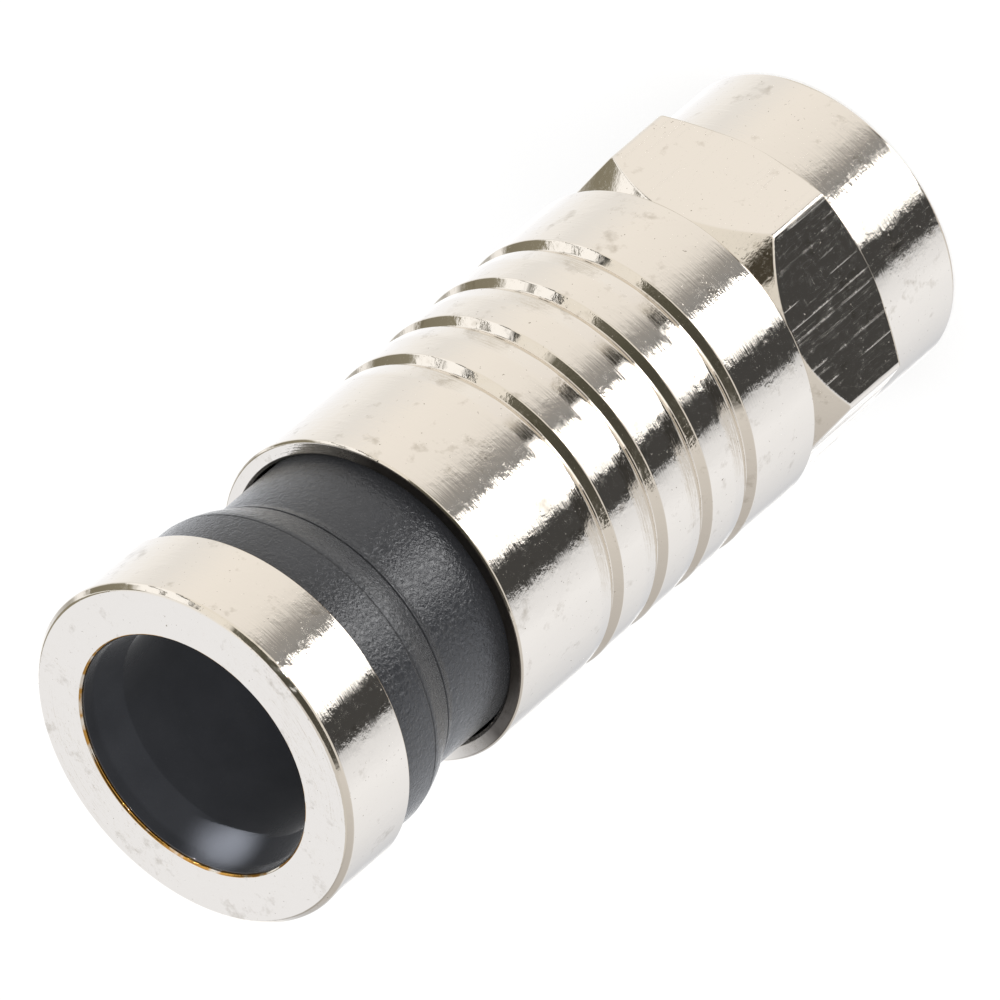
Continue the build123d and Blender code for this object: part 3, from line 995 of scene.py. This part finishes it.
path = add(sky, "ShaderNodeLightPath").outputs
mirrors = add(sky, "ShaderNodeBackground", {"Color": reflected, "Strength": 1.0})
even = add(sky, "ShaderNodeBackground", {"Color": linear(WHITE), "Strength": EVEN_LIGHT})
white = add(sky, "ShaderNodeBackground", {"Color": linear(WHITE), "Strength": 1.0})
by_gloss = add(
    sky, "ShaderNodeMixShader", {0: path["Is Glossy Ray"], 1: even.outputs[0], 2: mirrors.outputs[0]}
)
open_ray = add(
    sky,
    "ShaderNodeMath",
    {0: path["Is Camera Ray"], 1: path["Is Transmission Ray"]},
    operation="MAXIMUM",
).outputs[0]
by_camera = add(
    sky, "ShaderNodeMixShader", {0: open_ray, 1: by_gloss.outputs[0], 2: white.outputs[0]}
)
add(sky, "ShaderNodeOutputWorld", {"Surface": by_camera.outputs[0]})
print("colour stops in each list", [len(stops) for stops in (ROOM, TABLE, ABOVE, OVERHEAD)])

# %% [markdown]
# ## Lamps
# Two large soft lamps give the plastic its broad shading and the floor its faint shadow. They are
# hidden from glossy rays too, since the painted studio already has its own white light. A deep hole
# gets little of such light, so two narrow beams reach into the cable entry: one fills it, and one lays
# a small glint on its lower side.

# %% Soft lamps and narrow beams
def soft_lamp(name, bearing, height, distance, size, watts):
    """A square area lamp that looks at the middle of the part. Bearing and height are in degrees, and
    distance and size in metres."""
    data = bpy.data.lights.new(name, "AREA")
    data.size = size
    data.energy = watts
    lamp = in_scene(name, data)
    b, h = math.radians(bearing), math.radians(height)
    direction = Vector((math.sin(b) * math.cos(h), -math.cos(b) * math.cos(h), math.sin(h)))
    target = Vector((0, 0, 16 * MM))
    lamp.location = target + direction * distance
    lamp.rotation_euler = (-direction).to_track_quat("-Z", "Y").to_euler()
    lamp.visible_glossy = False
    return lamp


def narrow_beam(name, target_mm, way, away, width_mm, watts):
    """A cool spot lamp, so many metres away, that lights a round patch of the given width. A spot can't
    be narrower than one degree, so a small patch needs a near lamp."""
    data = bpy.data.lights.new(name, "SPOT")
    data.energy, data.color = watts, (0.95, 0.97, 1.0)
    data.spot_size, data.spot_blend = 2 * math.atan(width_mm / 2 * MM / away), 1.0
    data.shadow_soft_size = 0.0005
    lamp = in_scene(name, data)
    direction = Vector(way).normalized()
    lamp.location = Vector(target_mm) * MM + direction * away
    lamp.rotation_euler = (-direction).to_track_quat("-Z", "Y").to_euler()
    return lamp


key = soft_lamp("key_lamp", -20, 60, 0.5, 0.4, 2.2)
fill = soft_lamp("fill_lamp", 110, 45, 0.6, 0.5, 1.4)
glint = narrow_beam("entry_glint", (-2.6, 3.3, CAP_REAR - 1.1), (0.8, -0.5, 0.2), 0.12, 2.4, 5.3)
entry = narrow_beam("entry_fill", (0.0, 0.0, CAP_REAR), (-0.07, -0.74, 0.68), 0.3, 12.0, 1.6)
print("lamps", [(lamp.name, round(lamp.data.energy, 1)) for lamp in (key, fill, glint, entry)])

# %% [markdown]
# ## Camera
# The photograph was taken from far off with a long lens: round edges at both ends are ovals of the same
# shape. The camera stands five degrees to the left of the nut's corner and looks down at the standing
# part by 37.6 degrees, then rolls so that the connector lies across the picture from lower left to
# upper right, as it does in the photograph.

# %% Set the camera
TILT, ROLL = 52.4, 40.6  # degrees: the axis from the line of sight, and from the picture's side
PIXELS_PER_MM, PICTURE = 31.5, 1000
LENS, SENSOR = 1500.0, 36.0
MIDDLE, MIDDLE_PIXEL = Vector((0, 0, 16.5 * MM)), (507.1, 486.1)


def sight_frame():
    """The camera's right, up and backward directions."""
    tilt, roll = math.radians(TILT), math.radians(ROLL)
    across, axis_way = Vector((1, 0, 0)), Vector((0, -math.cos(tilt), -math.sin(tilt)))
    right = axis_way * math.cos(roll) - across * math.sin(roll)
    up = axis_way * math.sin(roll) + across * math.cos(roll)
    turn = Matrix.Rotation(math.radians(SIGHT_TURN), 3, "Z")
    right, up = turn @ right, turn @ up
    return right, up, right.cross(up)


right, up, backward = sight_frame()
pixel = MM / PIXELS_PER_MM
aside, down = (value - PICTURE / 2 for value in MIDDLE_PIXEL)
aim = MIDDLE - right * aside * pixel + up * down * pixel
distance = PICTURE * LENS / SENSOR * pixel
camera_data = bpy.data.cameras.new("camera")
camera_data.lens, camera_data.sensor_width = LENS, SENSOR
camera_data.clip_start, camera_data.clip_end = 0.01, 20.0
camera = in_scene("camera", camera_data)
eye = [aim[i] + backward[i] * distance for i in range(3)]
camera.matrix_world = Matrix(
    [(right[i], up[i], backward[i], eye[i]) for i in range(3)] + [(0, 0, 0, 1)]
)
bpy.context.scene.camera = camera
bpy.context.scene.view_settings.view_transform = "Standard"
down_angle = math.degrees(math.asin(backward[2]))
print("camera", round(distance, 3), "m away, looking down", round(down_angle, 1), "degrees")
